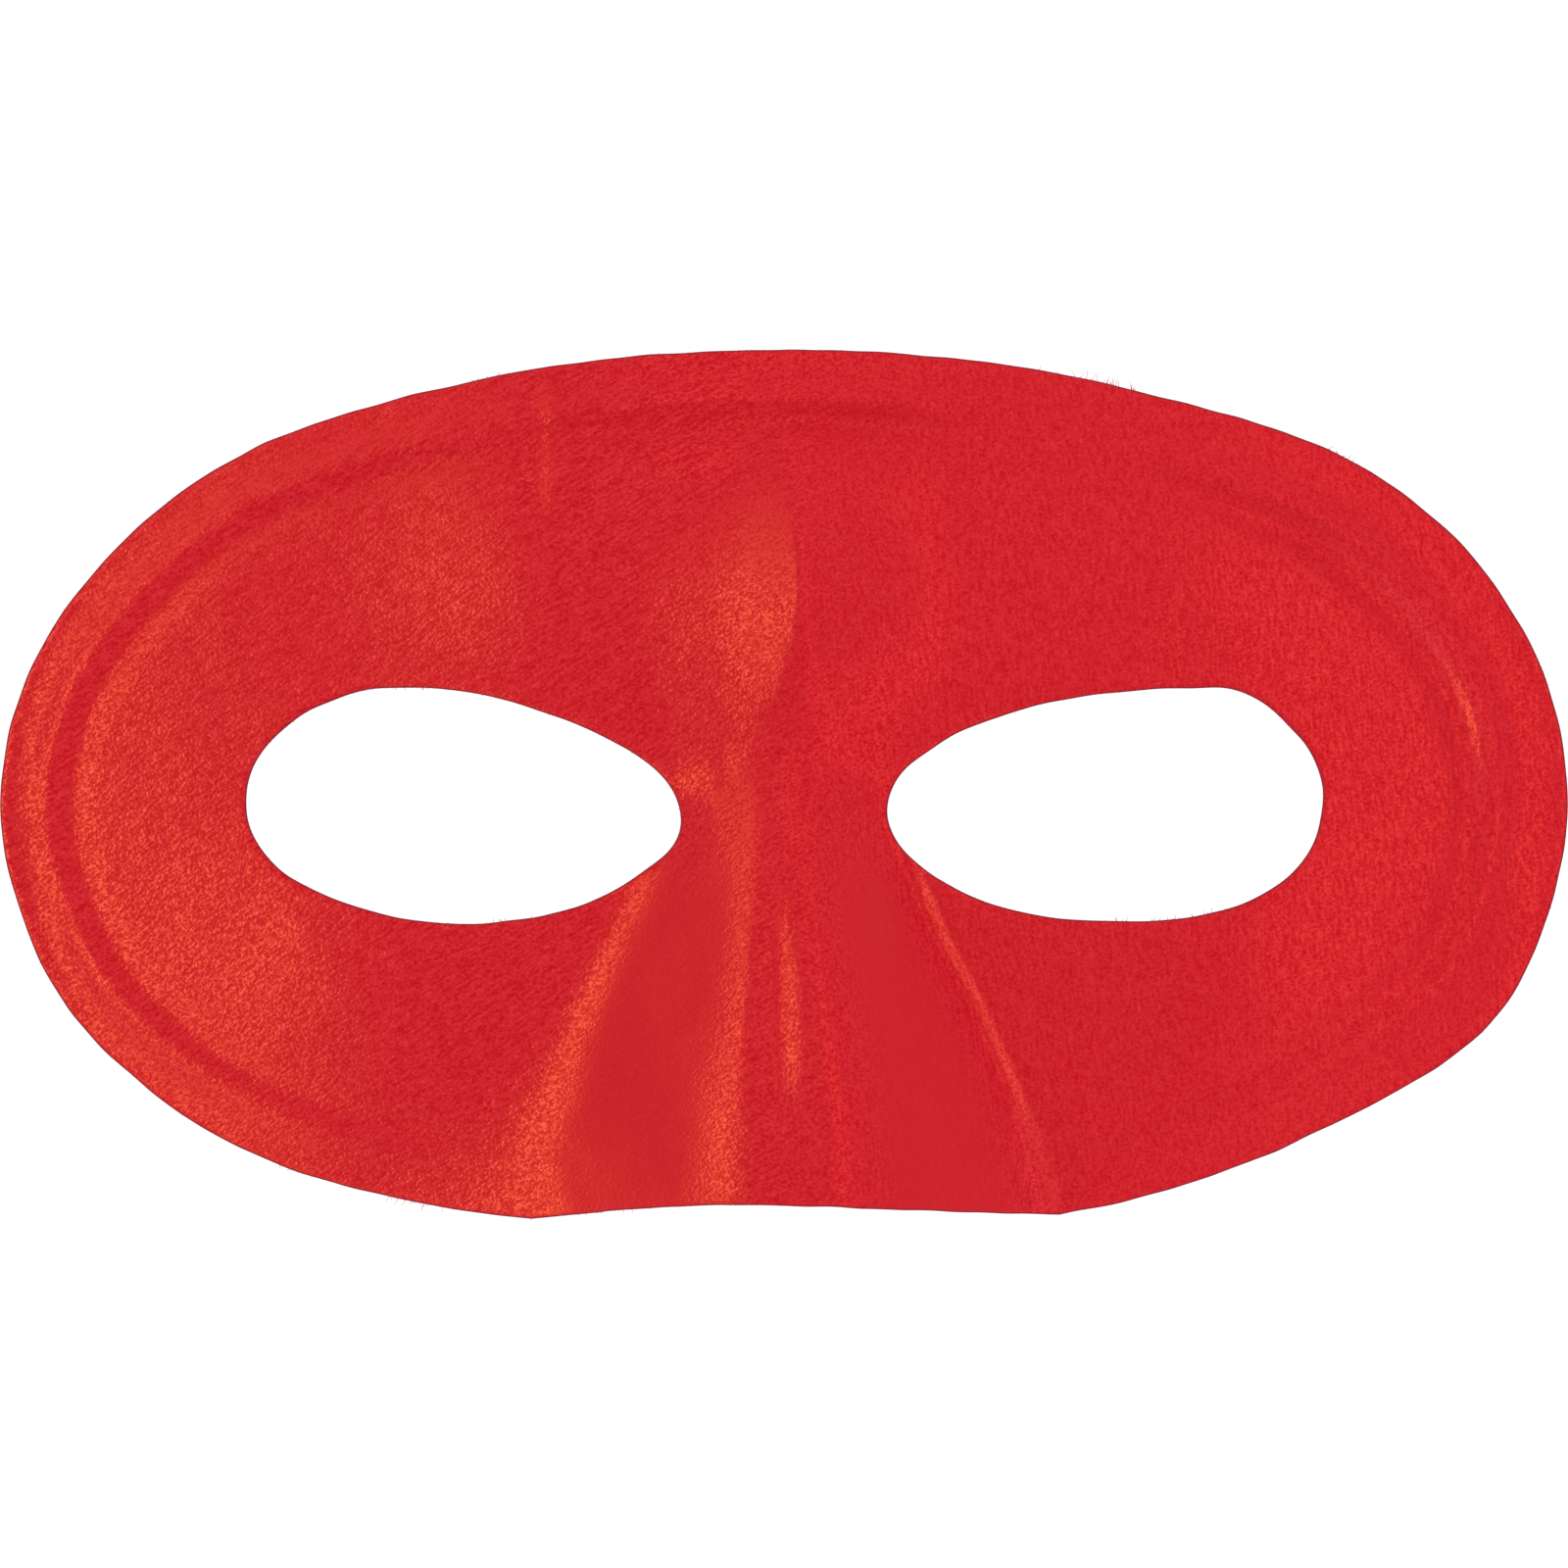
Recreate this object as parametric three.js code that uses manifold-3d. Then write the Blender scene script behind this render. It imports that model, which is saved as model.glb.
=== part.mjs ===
// A carnival half mask: one pressed shell of satin-faced cloth with two eye holes and a standing nose.
// Millimetres. It lies face up: X runs across the face, Y up to the forehead, Z out of the face.
import * as THREE from "three";
import { mergeVertices } from "three/addons/utils/BufferGeometryUtils.js";
import Module from "manifold-3d";

// Driving dimensions
const WALL = 1.6;
const HALF_WIDTH = 90;
const WRAP_SLOPE = 0.36; // slope that the sides come near as they sweep back round the head
const WRAP_ROUND = 72; // reach from the middle over which that sweep sets in
const BROW_LEAN = 180; // radius by which the brow sweeps back
const CHEEK_LEAN = 300; // radius by which the cheeks sweep back
const TIP_WALL = 1; // wall left where the side tips are pressed flat
const REST_SINK = 1.6; // how far the side tips are pressed flat where the mask rests
const REST_EASE = 0.8; // how softly the face turns flat there
const CREST_POWER = 3; // how squarely the ridge's crest turns into its flanks
const FOOT_REACH = 0.5; // share of a flank, from the crest down, that its foot's rounding hardly touches
const SLOPE_STEP = 0.5; // step over which the slope of the face is taken
const SATIN_RED = 0xd2272d;
const SATIN_ROUGHNESS = 0.45;

// Rim relief, by distance in from the cut edge
const BEAD = { inset: 5.6, halfWidth: 1.9, rise: 0.5 };
const GROOVE = { inset: 8.1, halfWidth: 1.8, rise: -0.4 };
const BEAD_START = 2.8;
const GROOVE_END = 11;
const RIM_RINGS = [BEAD_START, BEAD.inset, GROOVE.inset, GROOVE_END];

// Mesh density
const COLUMNS = 96; // steps from tip to tip
const INNER_RINGS = 8; // steps from the last rim ring to the spine
const EYE_STEPS = 4; // steps along each stretch of an eye hole
const SPINE_HALF = 70; // the rings close on a line across both eye holes
const SPINE_Y = -2.5;
const PUNCH_LENGTH = 200;

// Outlines: knots from left to right, or round an eye hole, with the heading of the edge in degrees.
// A knot with a second heading, "leave", is a corner.
const UPPER_EDGE = [
  { at: "left tip", x: -90, y: -2.4, heading: 90 },
  { at: "left temple", x: -82.6, y: 20, heading: 54.5 },
  { at: "left brow end", x: -67.4, y: 34.8, heading: 34 },
  { at: "left brow", x: -39.3, y: 45.4, heading: 13.5 },
  { at: "forehead", x: 0.5, y: 49.75, heading: 0 },
  { at: "right brow", x: 39.4, y: 45.3, heading: -13.8 },
  { at: "right brow end", x: 62, y: 38.6, heading: -23 },
  { at: "right temple", x: 76, y: 29.3, heading: -42.5 },
  { at: "right side", x: 85.6, y: 16.4, heading: -63 },
  { at: "right tip", x: 90, y: -2.4, heading: -90 },
];
const LOWER_EDGE = [
  { at: "left tip", x: -90, y: -2.4, heading: -90 },
  { at: "left side", x: -84.9, y: -21.4, heading: -63.5 },
  { at: "left jaw", x: -73.1, y: -35, heading: -39 },
  { at: "left cheek", x: -50.6, y: -46, heading: -14.5 },
  { at: "left nose corner", x: -28.9, y: -49.75, heading: -5, leave: 6 },
  { at: "nose edge", x: -4, y: -47.95, heading: -0.5 },
  { at: "right nose corner", x: 31.6, y: -49.35, heading: -1.5, leave: 10 },
  { at: "right cheek", x: 56.3, y: -42.1, heading: 23.5 },
  { at: "right jaw", x: 77.6, y: -30.7, heading: 36 },
  { at: "right side", x: 86.7, y: -18, heading: 69 },
  { at: "right tip", x: 90, y: -2.4, heading: 90 },
];
const LEFT_EYE = [
  { at: "outer end", x: -61.7, y: -2.4, heading: 90 },
  { at: "upper outer", x: -55.2, y: 7.9, heading: 32 },
  { at: "top", x: -42.8, y: 11.05, heading: 0 },
  { at: "upper inner", x: -26.7, y: 7.9, heading: -21 },
  { at: "inner slope", x: -16.8, y: 3.2, heading: -34 },
  { at: "inner end", x: -11.8, y: -4, heading: -90 },
  { at: "lower inner", x: -17.8, y: -11.2, heading: -147 },
  { at: "bottom", x: -37, y: -15.95, heading: 180 },
  { at: "lower outer", x: -53, y: -12.5, heading: 157 },
];
const RIGHT_EYE = [
  { at: "inner end", x: 11.8, y: -2.9, heading: 90 },
  { at: "inner slope", x: 18.5, y: 5.05, heading: 31 },
  { at: "upper inner", x: 29.4, y: 9.05, heading: 14 },
  { at: "top", x: 46, y: 10.95, heading: 1 },
  { at: "upper outer", x: 52.8, y: 10.4, heading: -22 },
  { at: "outer slope", x: 58.8, y: 5.6, heading: -45 },
  { at: "outer end", x: 61.75, y: -1.4, heading: -90 },
  { at: "lower outer", x: 59, y: -9.3, heading: -132 },
  { at: "bottom", x: 38, y: -15.7, heading: 180 },
  { at: "lower inner", x: 19.5, y: -11.85, heading: 151 },
];

// The ridge from forehead to nose, station by station down the face: where its crest lies, how far it
// stands out, how far to each side its foot is, and how round its crest and each foot are.
const RIDGE_COLUMNS = [
  "y", "crest", "rise", "left", "right", "leftCrest", "rightCrest", "leftRound", "rightRound",
];
const RIDGE = [
  [52, 1.8, 0.4, 16, 15, 4, 4, 2, 2],
  [40, 1.8, 2.1, 16, 14.5, 2.2, 2.2, 3, 2.2],
  [29, 2, 7, 17, 14, 0.9, 0.9, 4, 2.4],
  [20, 2, 8, 17, 15, 0.6, 0.7, 4, 2.4],
  [12, 1.2, 5.2, 15.4, 14, 1.4, 1.6, 2.8, 2],
  [4, 1, 3.2, 13.6, 11.9, 4, 2.4, 1.6, 1.4],
  [-3, 1.4, 5.6, 14.8, 9.6, 5, 2.4, 1.3, 1],
  [-14, 1.8, 9, 19.9, 12.2, 4.4, 2.4, 1.5, 0.6],
  [-25, 2.2, 11.8, 25.4, 17.2, 5.7, 3.4, 2, 0.6],
  [-35, 2.8, 13.6, 29.8, 20.9, 8.2, 4.8, 3.2, 0.6],
  [-44, 3, 14.6, 32, 23, 10.6, 6, 5.5, 0.8],
  [-52, 3, 15.2, 33, 25, 11.6, 7, 7.5, 1],
].map((row) => Object.fromEntries(row.map((size, i) => [RIDGE_COLUMNS[i], size])));

// Soft swellings and one slack place pressed into the shell
const SWELLINGS = [
  { at: "left temple", x: -46, y: 19, halfX: 14, halfY: 11, rise: -0.5 },
  { at: "left brow", x: -28, y: 27, halfX: 14, halfY: 17, rise: 1.7 },
  { at: "right brow", x: 46, y: 26, halfX: 17, halfY: 14, rise: 1.2 },
  { at: "left cheek", x: -48, y: -22, halfX: 19, halfY: 18, rise: 1.8 },
  { at: "right cheek", x: 56, y: -20, halfX: 19, halfY: 18, rise: 2 },
];

// The fold pressed down the nose beside its crest: its two ends, and its half width and rise at each.
const NOSE_FOLD = {
  top: { x: -1.5, y: -9, halfWidth: 1.7, rise: -0.85 },
  bottom: { x: 0.4, y: -37, halfWidth: 2.4, rise: -1.1 },
  fade: 3,
};

// How the rim relief is pressed, by direction from the middle in degrees, counter-clockwise from the right
// tip: it fades out under the nose and at the upper right, and lies further in and sharper on the right.
const RIM = [
  { direction: -180, strength: 0.8, shift: 0, sharpness: 1 },
  { direction: -140, strength: 0.6, shift: 0, sharpness: 1 },
  { direction: -118, strength: 0.05, shift: 0, sharpness: 1 },
  { direction: -60, strength: 0.05, shift: 0, sharpness: 1 },
  { direction: -30, strength: 0.7, shift: 0.7, sharpness: 1.2 },
  { direction: -8, strength: 1.8, shift: 1.1, sharpness: 1.25 },
  { direction: 25, strength: 1.8, shift: 1.1, sharpness: 1.25 },
  { direction: 48, strength: 0.4, shift: 0.7, sharpness: 1 },
  { direction: 80, strength: 1.4, shift: 0, sharpness: 1 },
  { direction: 115, strength: 1.7, shift: 0, sharpness: 1 },
  { direction: 180, strength: 0.8, shift: 0, sharpness: 1 },
];

// Cubic interpolation of one column of a station table.
function columnAt(table, key, at, column) {
  const ascending = table[0][key] < table[table.length - 1][key];
  const rows = ascending ? table : [...table].reverse();
  const last = rows.length - 1;
  const t = THREE.MathUtils.clamp(at, rows[0][key], rows[last][key]);
  const found = rows.findIndex((row) => row[key] > t);
  const i = (found < 0 ? last : found) - 1;
  const slope = (k) => {
    const below = rows[Math.max(k - 1, 0)];
    const above = rows[Math.min(k + 1, last)];
    return (above[column] - below[column]) / (above[key] - below[key]);
  };
  const span = rows[i + 1][key] - rows[i][key];
  const u = (t - rows[i][key]) / span;
  const early = 1 - u;
  return (
    rows[i][column] * early * early * (1 + 2 * u) +
    rows[i + 1][column] * u * u * (3 - 2 * u) +
    (slope(i) * early - slope(i + 1) * u) * span * u * early
  );
}

// One stretch of outline between two knots, close to an arc where the headings allow one.
function stretchBetween(from, to) {
  const degrees = THREE.MathUtils.degToRad;
  const start = new THREE.Vector2(from.x, from.y);
  const end = new THREE.Vector2(to.x, to.y);
  const leave = degrees(from.leave ?? from.heading);
  const arrive = degrees(to.heading);
  const turn = Math.acos(Math.cos(arrive - leave));
  const reach = start.distanceTo(end) / (3 * Math.cos(turn / 4) ** 2);
  const handle = (angle) => new THREE.Vector2(Math.cos(angle), Math.sin(angle)).multiplyScalar(reach);
  return new THREE.CubicBezierCurve(start, handle(leave).add(start), end.clone().sub(handle(arrive)), end);
}

function edgeThrough(knots) {
  const edge = new THREE.CurvePath();
  knots.slice(1).forEach((knot, i) => edge.add(stretchBetween(knots[i], knot)));
  return edge;
}

function bump(distance, halfWidth) {
  return Math.exp(-((distance / halfWidth) ** 2));
}

// How far the ridge and nose stand out at a place: a roof with a round crest and round feet.
function ridgeHeight(x, y) {
  const read = (column) => columnAt(RIDGE, "y", y, column);
  const side = x - read("crest");
  const foot = read(side < 0 ? "left" : "right");
  const crest = read(side < 0 ? "leftCrest" : "rightCrest");
  const run = (reach) => (Math.abs(reach) ** CREST_POWER + crest ** CREST_POWER) ** (1 / CREST_POWER) - crest;
  const down = run(side) / run(foot);
  const roof = read("rise") * (1 - down);
  const footRound = read(side < 0 ? "leftRound" : "rightRound") * (1 - bump(down, FOOT_REACH));
  return (roof + Math.hypot(roof, footRound)) / 2;
}

// One below a height on the face and nothing above it, with a soft change.
function below(y, top, fade) {
  return 1 / (1 + Math.exp((y - top) / fade));
}

function foldHeight(x, y) {
  const { top, bottom, fade } = NOSE_FOLD;
  const down = THREE.MathUtils.clamp((y - top.y) / (bottom.y - top.y), 0, 1);
  const size = (name) => THREE.MathUtils.lerp(top[name], bottom[name], down);
  const within = below(y, top.y, fade) * below(-y, -bottom.y, fade);
  return within * size("rise") * bump(x - size("x"), size("halfWidth"));
}

function rimAt(x, y, column) {
  return columnAt(RIM, "direction", THREE.MathUtils.radToDeg(Math.atan2(y, x)), column);
}

function rimHeight(x, y, inset) {
  const inward = inset - rimAt(x, y, "shift");
  const sharpness = rimAt(x, y, "sharpness");
  const relief = [BEAD, GROOVE].reduce(
    (sum, form) => sum + form.rise * bump(inward - form.inset, form.halfWidth / sharpness),
    0,
  );
  return rimAt(x, y, "strength") * relief;
}

// Height of the satin face before it is flattened at its tips and its rim is pressed.
function pressedHeight(x, y) {
  const wrap = WRAP_SLOPE * (Math.hypot(HALF_WIDTH, WRAP_ROUND) - Math.hypot(x, WRAP_ROUND));
  const lean = y ** 2 / (2 * (y > 0 ? BROW_LEAN : CHEEK_LEAN));
  const swelling = SWELLINGS.reduce(
    (sum, s) => sum + s.rise * bump(x - s.x, s.halfX) * bump(y - s.y, s.halfY),
    0,
  );
  return WALL - REST_SINK + wrap - lean + swelling + ridgeHeight(x, y) + foldHeight(x, y);
}

// The two surfaces at one place: the back lies one wall behind the face, and is flat where it rests.
function throughWall(x, y, inset) {
  const height = pressedHeight(x, y);
  const slopeX = (pressedHeight(x + SLOPE_STEP, y) - height) / SLOPE_STEP;
  const slopeY = (pressedHeight(x, y + SLOPE_STEP) - height) / SLOPE_STEP;
  const rim = rimHeight(x, y, inset);
  const back = Math.max(height + rim - WALL * Math.hypot(1, slopeX, slopeY), 0);
  const clear = height - TIP_WALL;
  return { x, y, back, face: TIP_WALL + (clear + Math.hypot(clear, REST_EASE)) / 2 + rim };
}

// The path from one point of the cut edge in to the spine, with its first rings at the rim's insets.
function pathInward(edge, share, inwardTurn) {
  const start = edge.getPointAt(share);
  const inward = edge.getTangentAt(share).rotateAround(new THREE.Vector2(), inwardTurn);
  const end = new THREE.Vector2(THREE.MathUtils.lerp(-SPINE_HALF, SPINE_HALF, share), SPINE_Y);
  const way = end.clone().sub(start).normalize();
  const reach = 1 / way.dot(inward);
  const shift = rimAt(start.x, start.y, "shift");
  const insets = [0, ...RIM_RINGS.map((inset) => inset + shift)];
  const places = insets.map((inset) => ({
    point: start.clone().addScaledVector(way, inset * reach),
    inset,
  }));
  const shoulder = places[places.length - 1];
  for (let ring = 1; ring <= INNER_RINGS; ring++) {
    const point = shoulder.point.clone().lerp(end, ring / INNER_RINGS);
    places.push({ point, inset: shoulder.inset + point.distanceTo(shoulder.point) });
  }
  return places.map(({ point, inset }) => throughWall(point.x, point.y, inset));
}

// The pressed shell before its eye holes are cut: rings of the cut edge that close on the spine.
function shellGeometry() {
  const upper = edgeThrough(UPPER_EDGE);
  const lower = edgeThrough(LOWER_EDGE);
  const shares = Array.from({ length: COLUMNS + 1 }, (_, i) => i / COLUMNS);
  const upperPaths = shares.map((share) => pathInward(upper, share, -Math.PI / 2));
  const lowerPaths = shares.slice(1, -1).map((share) => pathInward(lower, share, Math.PI / 2));
  const paths = [...upperPaths, ...lowerPaths.reverse()];
  const spineRing = paths[0].length - 1;

  const face = [];
  const back = [];
  const numbers = paths.map((path, p) =>
    path.map((place, ring) => {
      if (ring === spineRing && p > COLUMNS) return null;
      face.push(new THREE.Vector3(place.x, place.y, place.face));
      back.push(new THREE.Vector3(place.x, place.y, place.back));
      return face.length - 1;
    }),
  );
  for (let p = COLUMNS + 1; p < paths.length; p++) {
    numbers[p][spineRing] = numbers[paths.length - p][spineRing];
  }

  const triangles = [];
  const behind = (number) => number + face.length;
  const quad = (a, b, c, d) => {
    const split = face[a].distanceTo(face[c]) < face[b].distanceTo(face[d]);
    const halves = split ? [[a, b, c], [a, c, d]] : [[a, b, d], [b, c, d]];
    halves.forEach(([i, j, k]) => triangles.push(i, j, k, behind(i), behind(k), behind(j)));
  };
  paths.forEach((_, p) => {
    const here = numbers[p];
    const next = numbers[(p + 1) % paths.length];
    for (let ring = 0; ring < spineRing; ring++) {
      quad(here[ring], here[ring + 1], next[ring + 1], next[ring]);
    }
    triangles.push(here[0], next[0], behind(next[0]), here[0], behind(next[0]), behind(here[0]));
  });
  return new THREE.BufferGeometry().setFromPoints([...face, ...back]).setIndex(triangles);
}

// A straight punch with the outline of one eye hole, longer than the shell is deep.
function eyePunch(knots) {
  const edge = edgeThrough([...knots, knots[0]]);
  const shape = new THREE.Shape(edge.curves.flatMap((curve) => curve.getPoints(EYE_STEPS).slice(1)));
  const punch = new THREE.ExtrudeGeometry(shape, { depth: PUNCH_LENGTH, bevelEnabled: false, steps: 1 });
  return punch.translate(0, 0, -PUNCH_LENGTH / 2);
}

function solidOf(geometry) {
  geometry.deleteAttribute("normal");
  geometry.deleteAttribute("uv");
  const merged = mergeVertices(geometry);
  return new wasm.Manifold(
    new wasm.Mesh({
      numProp: 3,
      vertProperties: new Float32Array(merged.attributes.position.array),
      triVerts: new Uint32Array(merged.index.array),
    }),
  );
}

function geometryOf(solid) {
  const { vertProperties, triVerts } = solid.getMesh();
  const geometry = new THREE.BufferGeometry();
  geometry.setAttribute("position", new THREE.BufferAttribute(vertProperties, 3));
  geometry.setIndex(new THREE.BufferAttribute(triVerts, 1));
  geometry.computeVertexNormals();
  return geometry;
}

const wasm = await Module();
wasm.setup();

function maskShell() {
  const shell = [LEFT_EYE, RIGHT_EYE].reduce(
    (solid, eye) => solid.subtract(solidOf(eyePunch(eye))),
    solidOf(shellGeometry()),
  );
  const satin = new THREE.MeshStandardMaterial({ color: SATIN_RED, roughness: SATIN_ROUGHNESS });
  const mesh = new THREE.Mesh(geometryOf(shell), satin);
  mesh.name = "mask_shell";
  return mesh;
}

const mask = new THREE.Group();
mask.add(maskShell());

export default mask;
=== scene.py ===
# A red satin half mask, lying face up on a pale floor: its cloth, cut edges, loose threads, light and camera.
import math

import bmesh
import bpy
import numpy as np
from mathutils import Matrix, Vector, noise
from mathutils.geometry import delaunay_2d_cdt
from mathutils.kdtree import KDTree


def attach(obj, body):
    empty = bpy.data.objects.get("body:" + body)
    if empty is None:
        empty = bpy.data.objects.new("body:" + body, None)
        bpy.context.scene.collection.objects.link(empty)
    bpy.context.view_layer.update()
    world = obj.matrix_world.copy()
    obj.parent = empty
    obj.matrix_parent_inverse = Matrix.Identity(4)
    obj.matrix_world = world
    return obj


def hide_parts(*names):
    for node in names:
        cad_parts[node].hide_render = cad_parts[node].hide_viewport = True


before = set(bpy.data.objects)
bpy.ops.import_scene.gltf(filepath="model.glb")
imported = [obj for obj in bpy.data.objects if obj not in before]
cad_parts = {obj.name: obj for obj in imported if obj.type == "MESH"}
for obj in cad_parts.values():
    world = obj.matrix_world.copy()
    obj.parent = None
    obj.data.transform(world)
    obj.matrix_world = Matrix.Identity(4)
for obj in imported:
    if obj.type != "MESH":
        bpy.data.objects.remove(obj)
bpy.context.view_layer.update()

# The shell's form is worked out in millimetres, by the same sizes as the solid, and made in metres.
MM = 0.001
WALL = 1.6
HALF_WIDTH = 90.0
WRAP_SLOPE = 0.36
WRAP_ROUND = 72.0
BROW_LEAN = 180.0
CHEEK_LEAN = 300.0
TIP_WALL = 1.0
REST_SINK = 1.6
REST_EASE = 0.8
SLOPE_STEP = 0.5

# Outlines: knots from left to right, or round an eye hole, with the heading of the edge in degrees.
# A knot with a third angle, the heading that the edge leaves by, is a corner.
UPPER_EDGE = [
    ("left tip", -90, -2.4, 90),
    ("left temple", -82.6, 20, 54.5),
    ("left brow end", -67.4, 34.8, 34),
    ("left brow", -39.3, 45.4, 13.5),
    ("forehead", 0.5, 49.75, 0),
    ("right brow", 39.4, 45.3, -13.8),
    ("right brow end", 62, 38.6, -23),
    ("right temple", 76, 29.3, -42.5),
    ("right side", 85.6, 16.4, -63),
    ("right tip", 90, -2.4, -90),
]
LOWER_EDGE = [
    ("left tip", -90, -2.4, -90),
    ("left side", -84.9, -21.4, -63.5),
    ("left jaw", -73.1, -35, -39),
    ("left cheek", -50.6, -46, -14.5),
    ("left nose corner", -28.9, -49.75, -5, 6),
    ("nose edge", -4, -47.95, -0.5),
    ("right nose corner", 31.6, -49.35, -1.5, 10),
    ("right cheek", 56.3, -42.1, 23.5),
    ("right jaw", 77.6, -30.7, 36),
    ("right side", 86.7, -18, 69),
    ("right tip", 90, -2.4, 90),
]
LEFT_EYE = [
    ("outer end", -61.7, -2.4, 90),
    ("upper outer", -55.2, 7.9, 32),
    ("top", -42.8, 11.05, 0),
    ("upper inner", -26.7, 7.9, -21),
    ("inner slope", -16.8, 3.2, -34),
    ("inner end", -11.8, -4, -90),
    ("lower inner", -17.8, -11.2, -147),
    ("bottom", -37, -15.95, 180),
    ("lower outer", -53, -12.5, 157),
]
RIGHT_EYE = [
    ("inner end", 11.8, -2.9, 90),
    ("inner slope", 18.5, 5.05, 31),
    ("upper inner", 29.4, 9.05, 14),
    ("top", 46, 10.95, 1),
    ("upper outer", 52.8, 10.4, -22),
    ("outer slope", 58.8, 5.6, -45),
    ("outer end", 61.75, -1.4, -90),
    ("lower outer", 59, -9.3, -132),
    ("bottom", 38, -15.7, 180),
    ("lower inner", 19.5, -11.85, 151),
]

# The ridge from forehead to nose, station by station down the face.
CREST_POWER = 3
FOOT_REACH = 0.5
RIDGE_COLUMNS = (
    "y", "crest", "rise", "left", "right", "left_crest", "right_crest", "left_round", "right_round",
)
RIDGE = [
    (52, 1.8, 0.4, 16, 15, 4, 4, 2, 2),
    (40, 1.8, 2.1, 16, 14.5, 2.2, 2.2, 3, 2.2),
    (29, 2, 7, 17, 14, 0.9, 0.9, 4, 2.4),
    (20, 2, 8, 17, 15, 0.6, 0.7, 4, 2.4),
    (12, 1.2, 5.2, 15.4, 14, 1.4, 1.6, 2.8, 2),
    (4, 1, 3.2, 13.6, 11.9, 4, 2.4, 1.6, 1.4),
    (-3, 1.4, 5.6, 14.8, 9.6, 5, 2.4, 1.3, 1),
    (-14, 1.8, 9, 19.9, 12.2, 4.4, 2.4, 1.5, 0.6),
    (-25, 2.2, 11.8, 25.4, 17.2, 5.7, 3.4, 2, 0.6),
    (-35, 2.8, 13.6, 29.8, 20.9, 8.2, 4.8, 3.2, 0.6),
    (-44, 3, 14.6, 32, 23, 10.6, 6, 5.5, 0.8),
    (-52, 3, 15.2, 33, 25, 11.6, 7, 7.5, 1),
]
# Soft swellings of the cloth: the middle, the half widths across and up, and the rise.
SWELLINGS = {
    "left temple": (-46, 19, 14, 11, -0.5),
    "left brow": (-28, 27, 14, 17, 1.7),
    "right brow": (46, 26, 17, 14, 1.2),
    "left eye corner": (-13.5, -4, 3.6, 4.5, -0.9),
    "left cheek": (-48, -22, 19, 18, 1.8),
    "right cheek": (56, -20, 19, 18, 2),
}
# Where the ridge's right flank meets the cheek, the cloth dips and comes up again.
FOOT_DIP = {"top": -9, "offset": 1.5, "half_width": 1.7, "rise": -1.2, "fade": 1.5}
FOOT_FLARE = {"top": -39, "fade": 1.5, "half_width": 1.6, "rise": -0.6}
# Thin pressed lines, each from an upper to a lower end: up the back of the nose, above the left brow and by
# the inner end of the left eye.
CREASES = [
    {"ends": ((-1, -13), (-0.8, -37)), "half_width": (1.9, 2.8), "rise": (-0.85, -1.4), "fade": 3},
    {"ends": ((-28.3, 46), (-28.3, 31)), "half_width": (1.3, 1.3), "rise": (-0.35, -0.35), "fade": 1},
    {"ends": ((-6.7, 3.5), (-6.7, -2)), "half_width": (0.9, 0.9), "rise": (-0.2, -0.2), "fade": 0.6},
]
# The rim's bead and groove, which come and go, shift and sharpen by direction from the mask's middle.
BEAD = {"inset": 5.6, "half_width": 1.9, "rise": 0.5}
GROOVE = {"inset": 8.1, "half_width": 1.8, "rise": -0.4}
# Past the bead the cloth rolls down to the cut at the sides.
ROLL = {"half_width": 3.6, "rise": -0.55}
RIM_COLUMNS = ("direction", "strength", "shift", "sharpness", "roll")
RIM = [
    (-180, 0.8, 0, 1, 1),
    (-152, 0.7, 0, 1, 0.7),
    (-138, 0.4, 0, 1, 0),
    (-118, 0.05, 0, 1, 0),
    (-60, 0.05, 0, 1, 0.8),
    (-30, 0.6, 1.2, 1.2, 1),
    (-8, 1.2, 2.6, 0.95, 1.2),
    (8, 1.7, 2.9, 0.95, 0.7),
    (24, 2.4, 2.3, 0.95, 0),
    (48, 0.4, 0.7, 1, 0),
    (62, 0.8, 0.3, 1, 0),
    (80, 2.4, 0, 1, 0),
    (100, 1.9, 0, 1, 0),
    (118, 1.7, 0, 1, 0),
    (150, 1.1, 0, 1, 1),
    (180, 0.8, 0, 1, 1),
]

# Mesh spacings, the rounding of the cut edge, and how far cloth and cut wander from the pressed form.
EDGE_SPACING = 0.5
EDGE_CLEARANCE = 0.3
EDGE_PROBE = 0.05
GRID_SPACING = 0.7
CREASE_SPACING = 0.22
CREASE_ZONE = 2.2
CREASE_TOP = -4.0
DENSE_SPACING = 0.15
EDGE_ROUND = 0.16
TRIANGLES_INSIDE = 1
MERGE_WITHIN = 1e-6
WAVES = [{"length": 8.0, "rise": 0.11}, {"length": 2.6, "rise": 0.03}]
WAVE_SEED = 0.5
RIM_UNEVEN = {"length": 14.0, "share": 0.5, "seed": 0.2}
# Where a painted highlight makes the cloth paler, along the crease at the nose's right foot and in a stripe
# on the right of the rim, and where the cloth is pulled smooth.
CREASE_HIGHLIGHT = {"offset": 1.4, "half_width": 0.6, "top": -9, "fade": 1, "thinned": 0.6}
RIM_HIGHLIGHT = {"inset": 9.6, "half_width": 0.9, "first": 2, "last": 23, "fade": 2.5, "share": 0.8}
PULL = {"top": -9, "top_fade": 1.5, "upper": 0.38, "lower": 0.93, "fade": 0.03}
CUT_WANDER = {"length": 4.5, "reach": 0.14}
# The material slots of the cloth.
FACE, CUT, BACK = range(3)

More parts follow.
